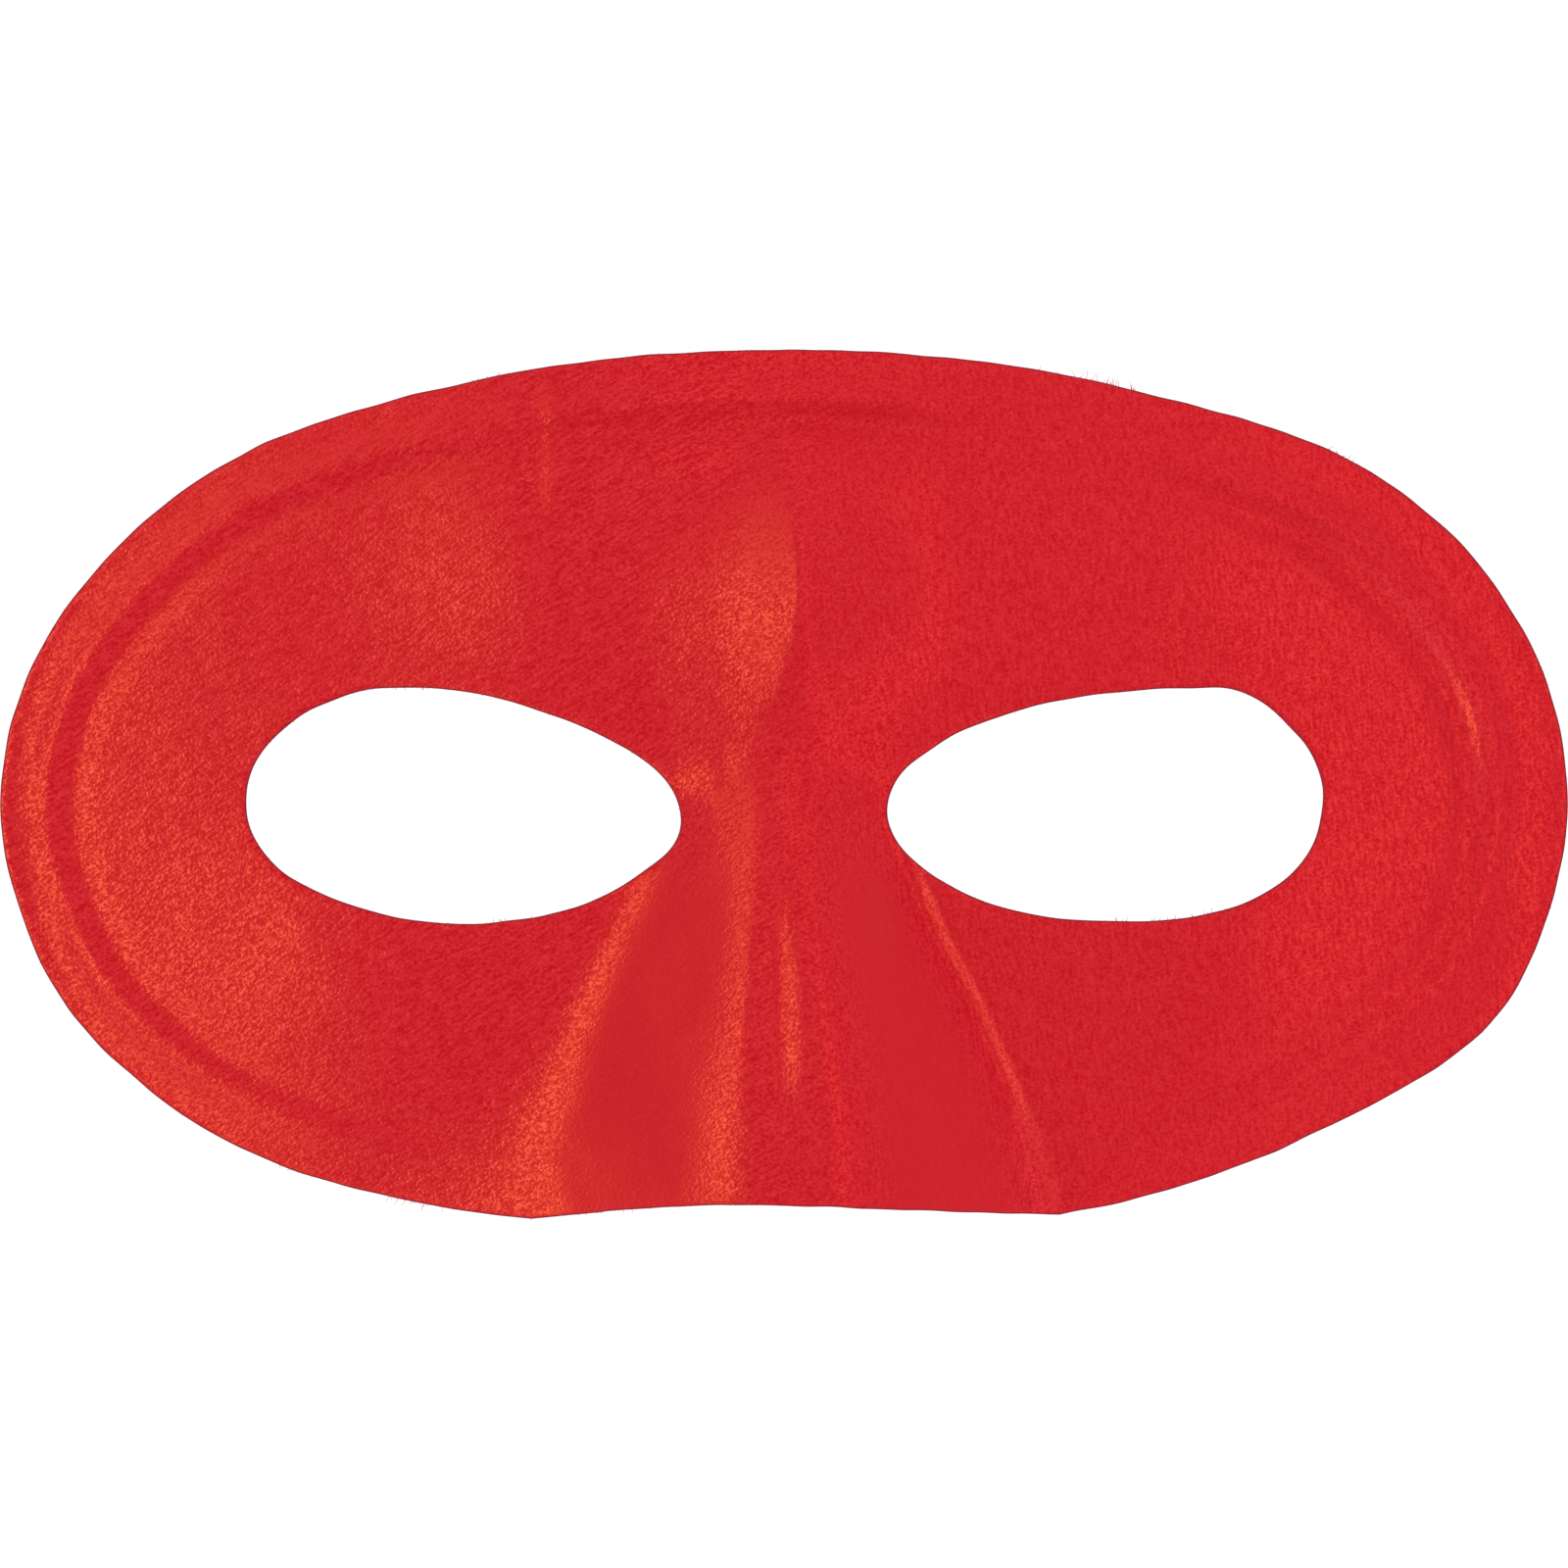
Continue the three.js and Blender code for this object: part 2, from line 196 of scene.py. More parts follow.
# Places where threads have worked loose from the cut: the middle, the spread, the count and the length.
FRAYS = {
    "right brow": (37, 46, 3.5, 26, 0.9),
    "right brow end": (64, 37.8, 1.2, 10, 0.8),
    "left brow": (-35, 46.5, 1.5, 8, 0.7),
    "left cheek": (-42, -47.5, 2.5, 16, 0.8),
    "left jaw": (-56, -44.3, 1.5, 8, 0.7),
    "nose corner": (-21, -48.8, 3, 18, 0.6),
    "left eye top": (-44, 11, 6, 18, 0.6),
    "left eye bottom": (-33, -15.6, 2.5, 12, 0.6),
    "right eye bottom": (44, -15.2, 4, 22, 0.6),
}
FUZZ_PER_MM = 0.5
FUZZ_LENGTH = 0.35
THREAD_RADIUS = 0.045
THREAD_SIDES = 4
THREAD_STEPS = 4
THREAD_TAPER = 0.6
THREAD_ROOT = 0.3
# The most that a thread slants and curls, in degrees, and climbs for each step along.
THREAD_SLANT = 65
THREAD_CURL = 50
THREAD_LIFT = 0.35
# The least and most of a thread's depth in the wall and of its length, as shares.
THREAD_DEPTHS = (0.05, 0.75)
THREAD_LENGTHS = (0.6, 1.5)
THREAD_SEED = 11
# A direction that no thread runs along.
OFF_THREAD = (0.3, 0.2, 0.93)


# Form
def column_at(table, columns, at, column):
    """One column of a station table, read at given places on its first column by smooth cubics."""
    rows = np.array(sorted(table), float)
    knots, values = rows[:, 0], rows[:, columns.index(column)]
    slopes = np.gradient(values, knots, edge_order=1)
    slopes[1:-1] = (values[2:] - values[:-2]) / (knots[2:] - knots[:-2])
    t = np.clip(at, knots[0], knots[-1])
    i = np.clip(np.searchsorted(knots, t, side="right") - 1, 0, len(rows) - 2)
    span = knots[i + 1] - knots[i]
    u = (t - knots[i]) / span
    early = 1 - u
    return (
        values[i] * early**2 * (1 + 2 * u)
        + values[i + 1] * u**2 * (3 - 2 * u)
        + (slopes[i] * early - slopes[i + 1] * u) * span * u * early
    )


def stretch_between(begin, finish, spacing):
    """Points of the outline from one knot up to the next, close to an arc where the headings allow one."""
    start, end = np.array(begin[1:3], float), np.array(finish[1:3], float)
    leave, arrive = math.radians(begin[-1]), math.radians(finish[3])
    turn = math.acos(math.cos(arrive - leave))
    chord = np.linalg.norm(end - start)
    reach = chord / (3 * math.cos(turn / 4) ** 2)
    first = start + reach * np.array((math.cos(leave), math.sin(leave)))
    second = end - reach * np.array((math.cos(arrive), math.sin(arrive)))
    u = np.linspace(0, 1, max(2, round(chord / spacing)), endpoint=False)[:, None]
    return (1 - u) ** 3 * start + 3 * (1 - u) ** 2 * u * first + 3 * (1 - u) * u**2 * second + u**3 * end


def edge_through(knots, spacing):
    return np.vstack([stretch_between(a, b, spacing) for a, b in zip(knots, knots[1:])])


def outer_loop(spacing):
    """The cut edge of the whole mask, clockwise from its left tip."""
    lower = np.vstack([edge_through(LOWER_EDGE, spacing), LOWER_EDGE[-1][1:3]])
    return np.vstack([edge_through(UPPER_EDGE, spacing), lower[:0:-1]])


def eye_loop(knots, spacing):
    return edge_through(knots + knots[:1], spacing)


def bump(distance, half_width):
    return np.exp(-((distance / half_width) ** 2))


def below(y, top, fade):
    """One below a height on the face and nothing above it, with a soft change."""
    return 1 / (1 + np.exp((y - top) / fade))


def right_foot(y):
    """Where the dip at the foot of the ridge's right flank is deepest."""
    read = lambda column: column_at(RIDGE, RIDGE_COLUMNS, y, column)
    return read("crest") + read("right") + FOOT_DIP["offset"]


def ridge_height(x, y):
    """How far the ridge and nose stand out: a roof with a round crest, round feet and a dip at the right."""
    read = lambda column: column_at(RIDGE, RIDGE_COLUMNS, y, column)
    side = x - read("crest")
    foot = np.where(side < 0, read("left"), read("right"))
    crest = np.where(side < 0, read("left_crest"), read("right_crest"))
    run = lambda reach: (np.abs(reach) ** CREST_POWER + crest**CREST_POWER) ** (1 / CREST_POWER) - crest
    down = run(side) / run(foot)
    roof = read("rise") * (1 - down)
    foot_round = np.where(side < 0, read("left_round"), read("right_round")) * (1 - bump(down, FOOT_REACH))
    flare = below(y, FOOT_FLARE["top"], FOOT_FLARE["fade"])
    flared = lambda size: FOOT_DIP[size] + FOOT_FLARE[size] * flare
    dip = flared("rise") * bump(x - right_foot(y), flared("half_width"))
    ground = dip * below(y, FOOT_DIP["top"], FOOT_DIP["fade"])
    return (roof + ground + np.hypot(roof - ground, foot_round)) / 2


def crease_height(x, y):
    height = 0
    for crease in CREASES:
        (x0, y0), (x1, y1) = crease["ends"]
        down = (y - y0) / (y1 - y0)
        between = lambda pair: pair[0] + (pair[1] - pair[0]) * np.clip(down, 0, 1)
        within = below(y, y0, crease["fade"]) * below(-y, -y1, crease["fade"])
        line = bump(x - between((x0, x1)), between(crease["half_width"]))
        height = height + within * between(crease["rise"]) * line
    return height


def rim_height(x, y, inset):
    read = lambda column: column_at(RIM, RIM_COLUMNS, np.degrees(np.arctan2(y, x)), column)
    inward, sharpness = inset - read("shift"), read("sharpness")
    relief = sum(f["rise"] * bump(inward - f["inset"], f["half_width"] / sharpness) for f in (BEAD, GROOVE))
    return read("strength") * relief + read("roll") * ROLL["rise"] * bump(inset, ROLL["half_width"])


def pressed_height(x, y):
    """The face before it is flattened at its tips and its rim is pressed."""
    wrap = WRAP_SLOPE * (math.hypot(HALF_WIDTH, WRAP_ROUND) - np.hypot(x, WRAP_ROUND))
    lean = y**2 / (2 * np.where(y > 0, BROW_LEAN, CHEEK_LEAN))
    height = WALL - REST_SINK + wrap - lean
    for mid_x, mid_y, half_x, half_y, rise in SWELLINGS.values():
        height = height + rise * bump(x - mid_x, half_x) * bump(y - mid_y, half_y)
    return height + ridge_height(x, y) + crease_height(x, y)


def through_wall(x, y, inset, press=1):
    """Heights of the face and of the back, one wall behind it and flat where the mask rests."""
    height = pressed_height(x, y)
    slope_x = (pressed_height(x + SLOPE_STEP, y) - height) / SLOPE_STEP
    slope_y = (pressed_height(x, y + SLOPE_STEP) - height) / SLOPE_STEP
    rim = press * rim_height(x, y, inset)
    back = np.maximum(height + rim - WALL * np.sqrt(1 + slope_x**2 + slope_y**2), 0)
    clear = height - TIP_WALL
    return TIP_WALL + (clear + np.hypot(clear, REST_EASE)) / 2 + rim, back


# Cloth
def inside(points, loop):
    """Which points lie inside a closed loop, by counting crossings."""
    x, y = points[:, :1], points[:, 1:]
    x0, y0 = loop[:, 0], loop[:, 1]
    x1, y1 = np.roll(x0, -1), np.roll(y0, -1)
    spans = (y0 > y) != (y1 > y)
    crossing = x < (x1 - x0) * (y - y0) / np.where(y1 == y0, 1, y1 - y0) + x0
    return (spans & crossing).sum(axis=1) % 2 == 1


def nearest(points, loop):
    """Distance from each point to a loop, and which of the loop's points is closest."""
    tree = KDTree(len(loop))
    for i, (x, y) in enumerate(loop):
        tree.insert((x, y, 0), i)
    tree.balance()
    found = [tree.find((x, y, 0)) for x, y in points]
    return np.array([f[2] for f in found]), np.array([f[1] for f in found])


def wander(points, length, seed):
    """Smooth noise of about unit size over the face, the same on each run."""
    return np.array([noise.noise((x / length, y / length, seed)) for x, y in points])


def into_cloth(loop, towards_inside):
    """Unit vectors from the points of a loop into the cloth beside it."""
    along = np.roll(loop, -1, axis=0) - np.roll(loop, 1, axis=0)
    across = np.column_stack([along[:, 1], -along[:, 0]])
    across /= np.linalg.norm(across, axis=1)[:, None]
    probe = inside(loop + EDGE_PROBE * across, loop)
    turn = 1 if probe.mean() > 0.5 else -1
    return across * (turn if towards_inside else -turn)


def cut_loops():
    """The three cut edges, each a little off its true line, and the way into the cloth from each."""
    loops = [outer_loop(EDGE_SPACING), eye_loop(LEFT_EYE, EDGE_SPACING), eye_loop(RIGHT_EYE, EDGE_SPACING)]
    inward = [into_cloth(loop, i == 0) for i, loop in enumerate(loops)]
    off = [CUT_WANDER["reach"] * wander(loop, CUT_WANDER["length"], i) for i, loop in enumerate(loops)]
    return [loop + o[:, None] * n for loop, o, n in zip(loops, off, inward)], inward


def even_points(low, high, spacing):
    """Points of a triangular grid over a box."""
    rows = np.arange(low[1], high[1], spacing * math.sqrt(3) / 2)
    return np.vstack([
        np.column_stack([xs, np.full_like(xs, y)])
        for row, y in enumerate(rows)
        for xs in [np.arange(low[0] + (row % 2) * spacing / 2, high[0], spacing)]
    ])


def near_crease(points):
    """Which points lie by the ridge's crest or by the crease at its right foot."""
    x, y = points.T
    crest = np.abs(x - column_at(RIDGE, RIDGE_COLUMNS, y, "crest")) < CREASE_ZONE
    return crest | ((np.abs(x - right_foot(y)) < CREASE_ZONE) & (y < CREASE_TOP))


def cloth_grid(loops):
    """Points spread over the cloth, clear of its edges and closer together by the creases."""
    low, high = loops[0].min(axis=0), loops[0].max(axis=0)
    wide, close = even_points(low, high, GRID_SPACING), even_points(low, high, CREASE_SPACING)
    points = np.vstack([wide[~near_crease(wide)], close[near_crease(close)]])
    keep = inside(points, loops[0])
    for eye in loops[1:]:
        keep &= ~inside(points, eye)
    points = points[keep]
    clear = np.min([nearest(points, loop)[0] for loop in loops], axis=0)
    return points[clear > EDGE_CLEARANCE]


def surface_heights(points, edge):
    """Face and back of the cloth, with the slight waves and the uneven rim that pressing leaves."""
    press = 1 + RIM_UNEVEN["share"] * wander(points, RIM_UNEVEN["length"], RIM_UNEVEN["seed"])
    face, back = through_wall(*points.T, nearest(points, edge)[0], press)
    waves = sum(wave["rise"] * wander(points, wave["length"], WAVE_SEED) for wave in WAVES)
    return face + waves, back


def pulled_smooth(points):
    """How far the cloth is pulled smooth, from nothing to one on the flanks of the nose."""
    x, y = points.T
    read = lambda column: column_at(RIDGE, RIDGE_COLUMNS, y, column)
    side = x - read("crest")
    down = np.where(side < 0, -side / read("left"), side / read("right"))
    flank = below(-down, -PULL["upper"], PULL["fade"]) * below(down, PULL["lower"], PULL["fade"])
    return flank * below(y, PULL["top"], PULL["top_fade"])


def painted_highlight(points, edge):
    """How strong the painted highlight is: a pale line along the crease at the nose's right foot and a stripe
    on the right of the rim.
    """
    x, y = points.T
    spread = below(y, FOOT_FLARE["top"], FOOT_FLARE["fade"])
    half_width = CREASE_HIGHLIGHT["half_width"] + FOOT_FLARE["half_width"] * spread
    line = bump(x - right_foot(y) - CREASE_HIGHLIGHT["offset"], half_width) * (1 - CREASE_HIGHLIGHT["thinned"] * spread)
    direction = np.degrees(np.arctan2(y, x))
    first, last, fade = (RIM_HIGHLIGHT[name] for name in ("first", "last", "fade"))
    ends = below(direction, last, fade) * below(-direction, -first, fade)
    stripe = bump(nearest(points, edge)[0] - RIM_HIGHLIGHT["inset"], RIM_HIGHLIGHT["half_width"])
    rim = RIM_HIGHLIGHT["share"] * ends * stripe
    return line * below(y, CREASE_HIGHLIGHT["top"], CREASE_HIGHLIGHT["fade"]) + rim


def mask_mesh(rims, inward, edge):
    borders = [rim + EDGE_ROUND * n for rim, n in zip(rims, inward)]
    points = np.vstack([*borders, cloth_grid(borders)])
    starts = np.cumsum([0] + [len(border) for border in borders])
    edges = [
        (start + k, start + (k + 1) % len(border))
        for start, border in zip(starts, borders)
        for k in range(len(border))
    ]
    placed = [Vector(p) for p in points]
    joined = delaunay_2d_cdt(placed, edges, [], TRIANGLES_INSIDE, MERGE_WITHIN)
    flat, _, triangles, came_from, _, _ = joined
    flat, triangles = np.array([tuple(p) for p in flat]), np.array(triangles)
    middles = flat[triangles].mean(axis=1)
    triangles = triangles[~(inside(middles, borders[1]) | inside(middles, borders[2]))].tolist()
    found = {origin: i for i, origins in enumerate(came_from) for origin in origins}

    face_z, back_z = surface_heights(flat, edge)
    # The second mark is a painted highlight: where it lies, the face's colour is made paler.
    marks = {"pulled": pulled_smooth(flat), "highlight_mark": painted_highlight(flat, edge)}
    vertices = [np.column_stack([flat, face_z]), np.column_stack([flat, back_z])]
    count = len(flat)
    faces = [tuple(t) for t in triangles] + [tuple(count + i for i in reversed(t)) for t in triangles]
    kinds = [FACE] * len(triangles) + [BACK] * len(triangles)

    total = 2 * count
    for start, rim in zip(starts, rims):
        rim_face, rim_back = surface_heights(rim, edge)
        vertices += [
            np.column_stack([rim, rim_face - EDGE_ROUND]),
            np.column_stack([rim, rim_back + EDGE_ROUND]),
        ]
        size = len(rim)
        for k in range(size):
            here, after = found[start + k], found[start + (k + 1) % size]
            upper, upper_after = total + k, total + (k + 1) % size
            lower, lower_after = upper + size, upper_after + size
            faces += [
                (here, after, upper_after, upper),
                (upper, upper_after, lower_after, lower),
                (lower, lower_after, count + after, count + here),
            ]
            kinds += [CUT, CUT, CUT]
        total += 2 * size

    mesh = bpy.data.meshes.new("mask_cloth")
    mesh.from_pydata((np.vstack(vertices) * MM).tolist(), [], faces)
    mesh.polygons.foreach_set("material_index", kinds)
    mesh.polygons.foreach_set("use_smooth", [True] * len(faces))
    shaped = bmesh.new()
    shaped.from_mesh(mesh)
    bmesh.ops.recalc_face_normals(shaped, faces=shaped.faces)
    shaped.to_mesh(mesh)
    shaped.free()
    for name, mark in marks.items():
        mesh.attributes.new(name, "FLOAT", "POINT").data.foreach_set(
            "value", np.concatenate([mark, np.zeros(len(mesh.vertices) - count)])
        )
    thread = mesh.uv_layers.new(name="thread")
    corners = np.array([mesh.vertices[loop.vertex_index].co[:2] for loop in mesh.loops])
    thread.data.foreach_set("uv", ((corners / MM + HALF_WIDTH) / (2 * HALF_WIDTH)).ravel())
    return mesh


# Loose threads
def thread_tube(route):
    """A closed tapering tube along a route: its points and faces."""
    rings = []
    for i, point in enumerate(route):
        along = route[min(i + 1, len(route) - 1)] - route[max(i - 1, 0)]
        along = along / np.linalg.norm(along)
        side = np.cross(along, OFF_THREAD)
        side = side / np.linalg.norm(side)
        other = np.cross(along, side)
        radius = THREAD_RADIUS * (1 - THREAD_TAPER * i / (len(route) - 1))
        turns = 2 * math.pi * np.arange(THREAD_SIDES) / THREAD_SIDES
        rings.append(point + radius * (np.outer(np.cos(turns), side) + np.outer(np.sin(turns), other)))
    faces = [tuple(reversed(range(THREAD_SIDES)))]
    for i in range(len(route) - 1):
        for k in range(THREAD_SIDES):
            a, b = i * THREAD_SIDES + k, i * THREAD_SIDES + (k + 1) % THREAD_SIDES
            faces.append((a, b, b + THREAD_SIDES, a + THREAD_SIDES))
    last = (len(route) - 1) * THREAD_SIDES
    faces.append(tuple(range(last, last + THREAD_SIDES)))
    return np.vstack(rings), faces


def thread_route(draw, root, outward, length):
    """A short thread that leaves the cut at a slant and curls a little."""
    slant = math.radians(draw.uniform(-THREAD_SLANT, THREAD_SLANT))
    curl = math.radians(draw.uniform(-THREAD_CURL, THREAD_CURL)) / THREAD_STEPS
    lift = draw.uniform(-THREAD_LIFT, THREAD_LIFT)
    heading = math.atan2(outward[1], outward[0]) + slant
    step = length / THREAD_STEPS
    route = [root - THREAD_ROOT * np.array((*outward, 0))]
    for _ in range(THREAD_STEPS):
        route.append(route[-1] + step * np.array((math.cos(heading), math.sin(heading), lift)))
        heading += curl
    return np.array(route)


def fray_mesh(rims, inward, edge):
    draw = np.random.default_rng(THREAD_SEED)
    cut, out = np.vstack(rims), -np.vstack(inward)
    cut_face, cut_back = surface_heights(cut, edge)
    fuzz = draw.integers(0, len(cut), round(FUZZ_PER_MM * EDGE_SPACING * len(cut)))
    starts = [(i, FUZZ_LENGTH) for i in fuzz]
    for x, y, spread, count, length in FRAYS.values():
        places = np.array((x, y)) + spread * draw.normal(size=(count, 2))
        starts += [(i, length) for i in nearest(places, cut)[1]]
    vertices, faces = [], []
    total = 0
    for i, length in starts:
        depth = draw.uniform(*THREAD_DEPTHS)
        root = np.array((*cut[i], cut_face[i] + depth * (cut_back[i] - cut_face[i])))
        reach = length * draw.uniform(*THREAD_LENGTHS)
        points, tube = thread_tube(thread_route(draw, root, out[i], reach))
        points[:, 2] = np.maximum(points[:, 2], THREAD_RADIUS)
        vertices.append(points)
        faces += [tuple(total + k for k in face) for face in tube]
        total += len(points)
    mesh = bpy.data.meshes.new("frayed_threads")
    mesh.from_pydata((np.vstack(vertices) * MM).tolist(), [], faces)
    mesh.polygons.foreach_set("use_smooth", [True] * len(faces))
    return mesh


# Materials
# The satin's floats lie one way on the left of the mask and another on the right, and blend between.
LEFT_FLOATS = {"angle": 32, "pitch": 0.36, "length": 2.4, "seed": 0.3}
RIGHT_FLOATS = {"angle": 98, "pitch": 0.38, "length": 1.5, "seed": 0.7}
GROUND_FLOATS = {"angle": 20, "pitch": 0.32, "length": 0.4, "seed": 0.1}
LEFT_END, RIGHT_END = -12, 22
LINES_SHARE = 0.4
LEFT_CONTRAST, RIGHT_CONTRAST = 1.45, 1
MIDDLE = 0.5
SATIN_RELIEF = 0.08
# Where the cloth is pulled smooth, its weave is nearly level and its gloss even.
PULLED_SHARE = 0.75
PULLED_LEVEL = 0.46
PULLED_ROUGHNESS = 0.34
# How the weave's height sets the roughness, and how pale the threads are painted within the painted
# highlight.
GLINT = {"From Min": 0.4, "From Max": 0.62, "To Min": 0.56, "To Max": 0.33}
HIGHLIGHT_BEADS = {"From Min": 0.42, "From Max": 0.58, "To Min": 0.15, "To Max": 0.45}
SATIN_TONES = {"low": 0.32, "high": 1.04, "dark": (0.55, 0.0, 0.013), "light": (0.85, 0.04, 0.061)}
SHEEN_TINT = (1, 0.72, 0.158, 1)
SHEEN_STRETCH = 0.88
SHEEN_TURN = 0.25
# The dull cloths: the grain runs from dark to light between two levels.
GRAIN_LOW, GRAIN_HIGH = 0.3, 0.7
BACK_CLOTH = {
    "roughness": 0.85,
    "specular": 0.2,
    "grain": {"angle": 0, "pitch": 0.5, "length": 0.6, "seed": 0.2},
    "height": 0.05,
    "dark": (0.34, 0.008, 0.014),
    "light": (0.48, 0.014, 0.02),
}
CUT_CLOTH = {
    "roughness": 0.8,
    "specular": 0.2,
    "grain": {"angle": 0, "pitch": 0.3, "length": 0.3, "seed": 0.5},
    "height": 0.1,
    "dark": (0.14, 0.004, 0.014),
    "light": (0.34, 0.008, 0.02),
}
THREAD_CLOTH = {
    "roughness": 0.6,
    "specular": 0.3,
    "grain": {"angle": 0, "pitch": 0.6, "length": 0.6, "seed": 0.9},
    "height": None,
    "dark": (0.3, 0.006, 0.016),
    "light": (0.6, 0.012, 0.024),
}


def add_node(tree, kind, values=None, **properties):
    made = tree.nodes.new(kind)
    for name, value in properties.items():
        setattr(made, name, value)
    for socket, value in (values or {}).items():
        if isinstance(value, bpy.types.NodeSocket):
            tree.links.new(value, made.inputs[socket])
        else:
            made.inputs[socket].default_value = value
    return made


def new_material(name, roughness, specular):
    material = bpy.data.materials.new(name)
    material.use_nodes = True
    tree = material.node_tree
    shader = tree.nodes["Principled BSDF"]
    shader.inputs["Roughness"].default_value = roughness
    shader.inputs["Specular IOR Level"].default_value = specular
    return material, tree, shader


def floats(tree, angle, pitch, length, seed):
    """Noise drawn out along a direction, as the floats of a satin weave are."""
    place = add_node(tree, "ShaderNodeTexCoord").outputs["Object"]
    turned = add_node(tree, "ShaderNodeMapping", {
        "Vector": place,
        "Location": (seed, seed, 0),
        "Rotation": (0, 0, math.radians(-angle)),
    })
    drawn = add_node(tree, "ShaderNodeMapping", {
        "Vector": turned.outputs[0],
        "Scale": (1 / (length * MM), 1 / (pitch * MM), 1 / (pitch * MM)),
    })
    return add_node(tree, "ShaderNodeTexNoise", {
        "Vector": drawn.outputs[0], "Scale": 1.0, "Detail": 1.0,
    }).outputs["Fac"]


def mix(tree, factor, first, second):
    return add_node(tree, "ShaderNodeMix", {
        "Factor": factor, "A": first, "B": second,
    }, data_type="FLOAT", clamp_factor=False).outputs[0]


def mottle(tree, shader, value, low, high, dark, light):
    """Base colour that runs from dark to light as a value runs from low to high."""
    tone = add_node(tree, "ShaderNodeMapRange", {
        "Value": value, "From Min": low, "From Max": high,
    }).outputs[0]
    colour = add_node(tree, "ShaderNodeMix", {
        "Factor": tone, "A": (*dark, 1), "B": (*light, 1),
    }, data_type="RGBA").outputs["Result"]
    tree.links.new(colour, shader.inputs["Base Color"])


def relief(tree, shader, value, height):
    raised = add_node(tree, "ShaderNodeBump", {"Strength": 1.0, "Distance": height * MM, "Height": value})
    tree.links.new(raised.outputs[0], shader.inputs["Normal"])


def satin_face():
    material, tree, shader = new_material("red_satin_face", roughness=0.4, specular=0.12)
    place = add_node(tree, "ShaderNodeTexCoord").outputs["Object"]
    across = add_node(tree, "ShaderNodeSeparateXYZ", {0: place}).outputs["X"]
    right = add_node(tree, "ShaderNodeMapRange", {
        "Value": across, "From Min": LEFT_END * MM, "From Max": RIGHT_END * MM,
    }, interpolation_type="SMOOTHSTEP").outputs[0]
    lines = mix(tree, right, floats(tree, **LEFT_FLOATS), floats(tree, **RIGHT_FLOATS))
    pulled = add_node(tree, "ShaderNodeAttribute", attribute_name="pulled").outputs["Fac"]
    smooth = add_node(tree, "ShaderNodeMath", {0: pulled, 1: PULLED_SHARE}, operation="MULTIPLY").outputs[0]
    even = mix(tree, LINES_SHARE, floats(tree, **GROUND_FLOATS), lines)
    contrast = mix(tree, right, LEFT_CONTRAST, RIGHT_CONTRAST)
    pattern = mix(tree, contrast, MIDDLE, even)
    weave = mix(tree, smooth, pattern, PULLED_LEVEL)
    relief(tree, shader, weave, SATIN_RELIEF)
    glint = add_node(tree, "ShaderNodeMapRange", {"Value": pattern, **GLINT}).outputs[0]
    tree.links.new(mix(tree, smooth, glint, PULLED_ROUGHNESS), shader.inputs["Roughness"])
    # Painted highlight: the base colour is made paler along the nose's right foot and on the right of the
    # rim.
    highlight_mark = add_node(tree, "ShaderNodeAttribute", attribute_name="highlight_mark").outputs["Fac"]
    lit_beads = add_node(tree, "ShaderNodeMapRange", {"Value": pattern, **HIGHLIGHT_BEADS}).outputs[0]
    tone = add_node(tree, "ShaderNodeMath", {
        0: highlight_mark, 1: lit_beads, 2: weave,
    }, operation="MULTIPLY_ADD").outputs[0]
    mottle(tree, shader, tone, **SATIN_TONES)
    shader.inputs["Specular Tint"].default_value = SHEEN_TINT
    shader.inputs["Anisotropic"].default_value = SHEEN_STRETCH
    shader.inputs["Anisotropic Rotation"].default_value = SHEEN_TURN
    thread = add_node(tree, "ShaderNodeTangent", direction_type="UV_MAP", uv_map="thread")
    tree.links.new(thread.outputs[0], shader.inputs["Tangent"])
    return material


def dull_cloth(name, cloth):
    """A plain cloth with a mottled grain, raised where it has a height."""
    material, tree, shader = new_material(name, cloth["roughness"], cloth["specular"])
    grain = floats(tree, **cloth["grain"])
    if cloth["height"]:
        relief(tree, shader, grain, cloth["height"])
    mottle(tree, shader, grain, GRAIN_LOW, GRAIN_HIGH, cloth["dark"], cloth["light"])
    return material


def add_piece(name, mesh, materials):
    piece = bpy.data.objects.new(name, mesh)
    for material in materials:
        mesh.materials.append(material)
    bpy.context.scene.collection.objects.link(piece)
    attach(piece, "root")
    return piece


cut_rims, cut_inward = cut_loops()
true_edge = outer_loop(DENSE_SPACING)
cloth_mesh = mask_mesh(cut_rims, cut_inward, true_edge)
cloth_slots = {
    FACE: satin_face(),
    CUT: dull_cloth("red_cut_edge", CUT_CLOTH),
    BACK: dull_cloth("red_cloth_back", BACK_CLOTH),
}
mask = add_piece("mask_cloth", cloth_mesh, cloth_slots.values())
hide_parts("mask_shell")
thread_mesh = fray_mesh(cut_rims, cut_inward, true_edge)
add_piece("frayed_threads", thread_mesh, [dull_cloth("red_loose_thread", THREAD_CLOTH)])

# Stage
WHITE = (1, 1, 1, 1)
FLOOR_HALF = 12.0
FLOOR_COLOUR = (0.25, 0.25, 0.25, 1)
FLOOR_GLOW = 0.95
SKY_STRENGTH = 0.925
CAMERA_HEIGHT = 3.0
SENSOR = 36.0
FAR_CLIP = 100
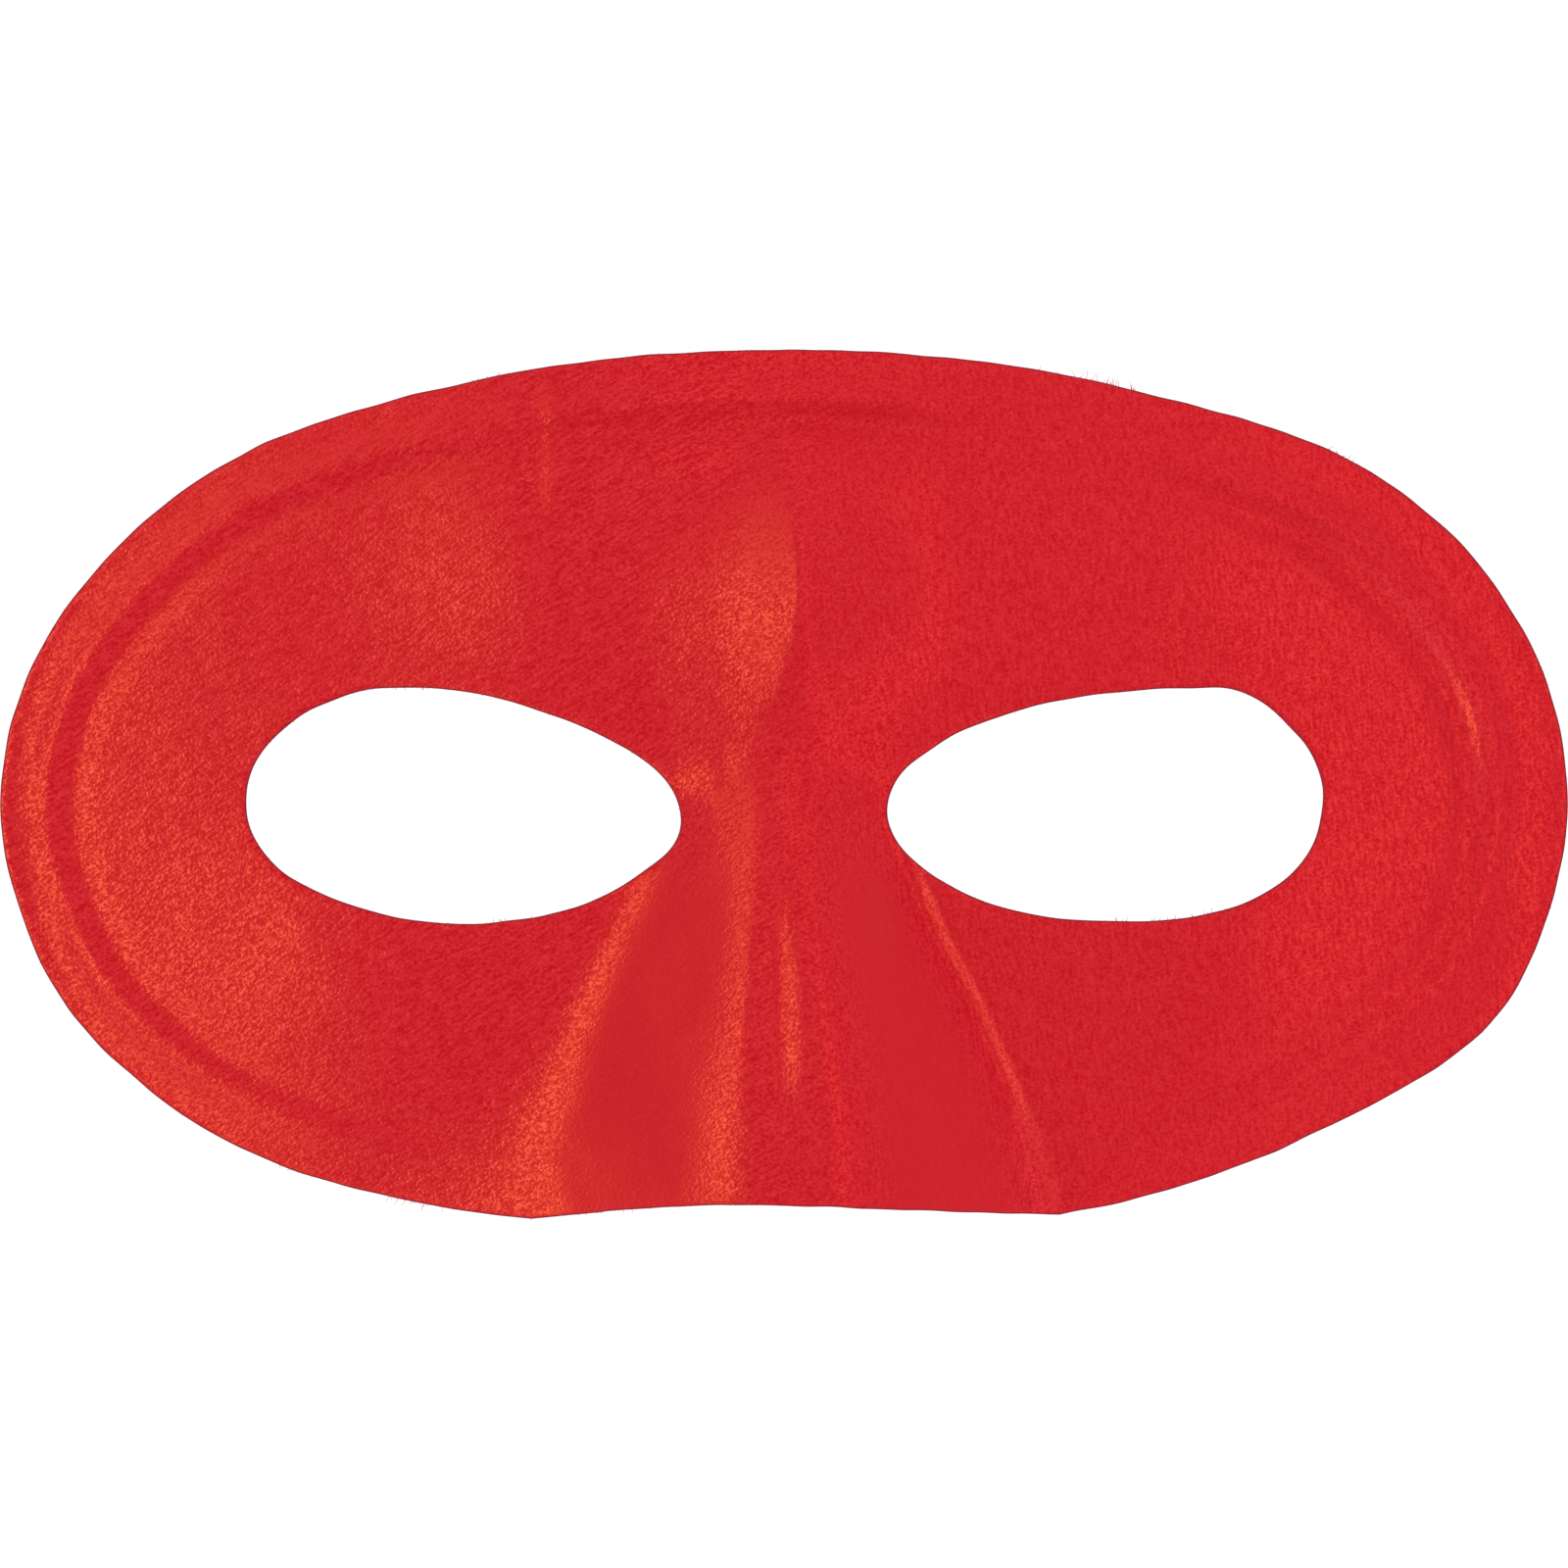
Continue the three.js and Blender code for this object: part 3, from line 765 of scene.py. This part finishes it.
# Lamps aimed at the mask's middle: three that show only in the gloss, and one only in the shade.
ROSE = (1, 0.285, 0.285)
GLOSS_LAMPS = {
    "key": {"place": (-0.99, -0.07, 0.99), "size": (0.26, 0.3), "power": 86.0, "colour": ROSE},
    "warm": {"place": (0.82, 0.0, 1.14), "size": (0.3, 0.3), "power": 36.0, "colour": (1, 0.11, 0.14)},
    "top": {"place": (0.0, 0.66, 1.235), "size": (0.6, 1.0), "power": 16.0, "colour": ROSE},
}
FILL_LAMP = {"place": (1.5, 0.9, 0.9), "size": (1.2, 1.2), "power": 2.5, "colour": (1, 1, 1)}


def add_floor():
    mesh = bpy.data.meshes.new("floor")
    h = FLOOR_HALF
    mesh.from_pydata([(-h, -h, 0), (h, -h, 0), (h, h, 0), (-h, h, 0)], [], [(0, 1, 2, 3)])
    floor = bpy.data.objects.new("floor", mesh)
    material, _, shader = new_material("pale_floor", roughness=0.9, specular=0.2)
    shader.inputs["Base Color"].default_value = FLOOR_COLOUR
    shader.inputs["Emission Color"].default_value = WHITE
    shader.inputs["Emission Strength"].default_value = FLOOR_GLOW
    mesh.materials.append(material)
    bpy.context.scene.collection.objects.link(floor)


def add_area(name, place, size, power, colour):
    light = bpy.data.lights.new(name, "AREA")
    light.shape = "RECTANGLE"
    light.size, light.size_y = size
    light.energy = power
    light.color = colour
    lamp = bpy.data.objects.new(name, light)
    lamp.location = place
    lamp.rotation_euler = (-Vector(place)).to_track_quat("-Z", "Y").to_euler()
    lamp.visible_camera = False
    bpy.context.scene.collection.objects.link(lamp)
    return lamp


def add_camera():
    data = bpy.data.cameras.new("camera")
    data.sensor_width = SENSOR
    data.lens = SENSOR * (CAMERA_HEIGHT - WALL * MM) / (2 * HALF_WIDTH * MM)
    data.clip_end = FAR_CLIP
    camera = bpy.data.objects.new("camera", data)
    camera.location = (0, 0, CAMERA_HEIGHT)
    bpy.context.scene.collection.objects.link(camera)
    bpy.context.scene.camera = camera


def add_world():
    world = bpy.data.worlds.new("studio")
    world.use_nodes = True
    sky = world.node_tree.nodes["Background"]
    sky.inputs["Color"].default_value = WHITE
    sky.inputs["Strength"].default_value = SKY_STRENGTH
    bpy.context.scene.world = world


add_floor()
for lamp_name, lamp_sizes in GLOSS_LAMPS.items():
    add_area(lamp_name, **lamp_sizes).visible_diffuse = False
add_area("fill", **FILL_LAMP).visible_glossy = False
add_camera()
add_world()
bpy.context.scene.view_settings.view_transform = "Standard"
